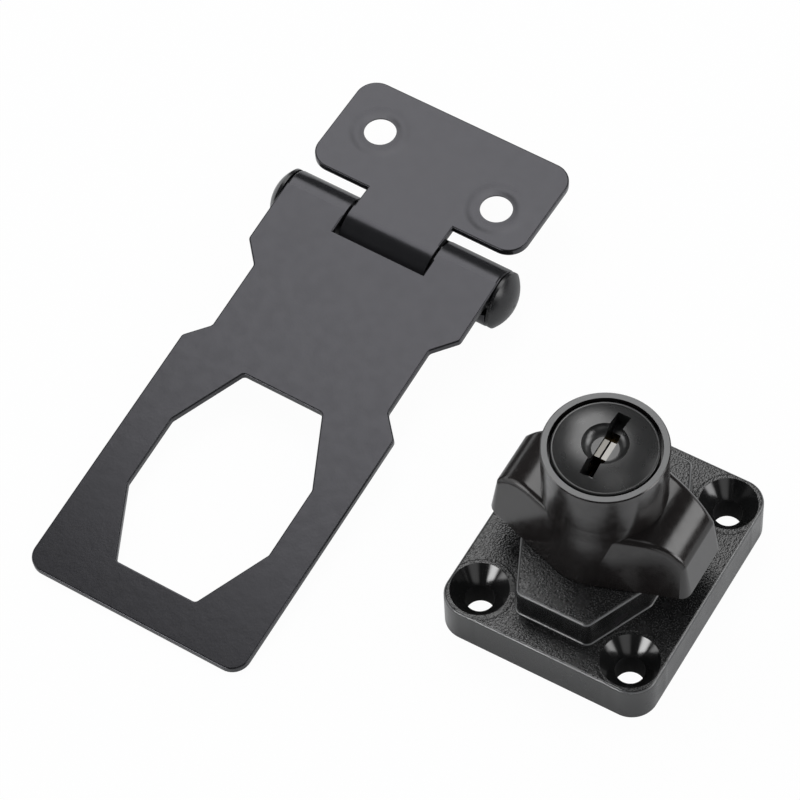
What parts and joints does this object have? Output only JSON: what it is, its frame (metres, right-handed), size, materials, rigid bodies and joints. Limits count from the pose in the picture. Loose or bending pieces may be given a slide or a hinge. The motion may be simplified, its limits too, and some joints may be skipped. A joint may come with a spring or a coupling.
{
  "type": "keyed hasp lock",
  "caption": "Surface-mounted keyed lock with a winged turn-knob, and the hinged, windowed hasp strap that it holds shut on a drawer or small door.",
  "frame": {"origin": "middle of the lock base's underside, between its four screw holes, on the knob's axis", "axes": "+Z out of the mounting face along the knob's axis, +Y along the base's length towards the hasp's mounting leaf, +X across the base away from the hasp"},
  "size_m": [0.0973, 0.1023, 0.0365],
  "materials": {
    "black_coat": "thin satin black coat, fine texture",
    "black_pin": "satin black coat",
    "black_casting": "black coat with a fine wrinkle texture",
    "knob_casting": "satin to glossy black coat",
    "plug_coat": "satin black coat over a dished face",
    "brass": "stamped",
    "spring_steel": "bright",
    "steel": "plain"
  },
  "bodies": {
    "mounting": {"base_plate": "black_casting", "hasp_mounting_leaf": "black_coat", "hinge_pin": "black_pin", "thrust_washer": "steel"},
    "strap": {"hasp_strap": "black_coat"},
    "knob": {"turn_knob": "knob_casting", "disc_spring": "spring_steel", "spindle_ring": "spring_steel"},
    "plug": {"key_plug": "plug_coat", "plug_retainer": "steel", "retainer_spring": "spring_steel", "drive_tail": "steel", "wafer_spring_1": "spring_steel", "wafer_spring_2": "spring_steel", "wafer_spring_3": "spring_steel", "wafer_spring_4": "spring_steel", "wafer_spring_5": "spring_steel"},
    "bolt": {"lock_bolt": "steel"},
    "wafer_1_body": {"wafer_1": "brass"},
    "wafer_2_body": {"wafer_2": "brass"},
    "wafer_3_body": {"wafer_3": "brass"},
    "wafer_4_body": {"wafer_4": "brass"},
    "wafer_5_body": {"wafer_5": "brass"}
  },
  "joints": [
    {"name": "strap_swing", "type": "hinge", "parent": "mounting", "child": "strap", "pos_m": [-0.05692, 0.03408, 0.00491], "axis": [-0.9996, 0.0279, 0], "range_deg": [-189, 82]},
    {"name": "knob_turn", "type": "hinge", "parent": "mounting", "child": "knob", "pos_m": [0, 0, 0], "axis": [0, 0, 1], "range_deg": [0, 90]},
    {"name": "plug_turn", "type": "hinge", "parent": "knob", "child": "plug", "pos_m": [0, 0, 0], "axis": [0, 0, 1], "range_deg": [0, 90]},
    {"name": "bolt_slide", "type": "slide", "parent": "knob", "child": "bolt", "axis": [0, 1, 0], "range_m": [0, 0.00269]},
    {"name": "wafer_1_slide", "type": "slide", "parent": "plug", "child": "wafer_1_body", "axis": [0, 1, 0], "range_m": [0, 0.0008], "stiffness_N_per_m": 50, "springref_m": 0.0012, "deforming": ["wafer_spring_1"]},
    {"name": "wafer_2_slide", "type": "slide", "parent": "plug", "child": "wafer_2_body", "axis": [0, -1, 0], "range_m": [0, 0.0008], "stiffness_N_per_m": 50, "springref_m": 0.0012, "deforming": ["wafer_spring_2"]},
    {"name": "wafer_3_slide", "type": "slide", "parent": "plug", "child": "wafer_3_body", "axis": [0, 1, 0], "range_m": [0, 0.0008], "stiffness_N_per_m": 50, "springref_m": 0.0012, "deforming": ["wafer_spring_3"]},
    {"name": "wafer_4_slide", "type": "slide", "parent": "plug", "child": "wafer_4_body", "axis": [0, -1, 0], "range_m": [0, 0.0008], "stiffness_N_per_m": 50, "springref_m": 0.0012, "deforming": ["wafer_spring_4"]},
    {"name": "wafer_5_slide", "type": "slide", "parent": "plug", "child": "wafer_5_body", "axis": [0, 1, 0], "range_m": [0, 0.0008], "stiffness_N_per_m": 50, "springref_m": 0.0012, "deforming": ["wafer_spring_5"]}
  ],
  "couplings": [
    {"joint": "bolt_slide", "follows": "plug_turn", "m_per_rad": 0.0017106}
  ]
}
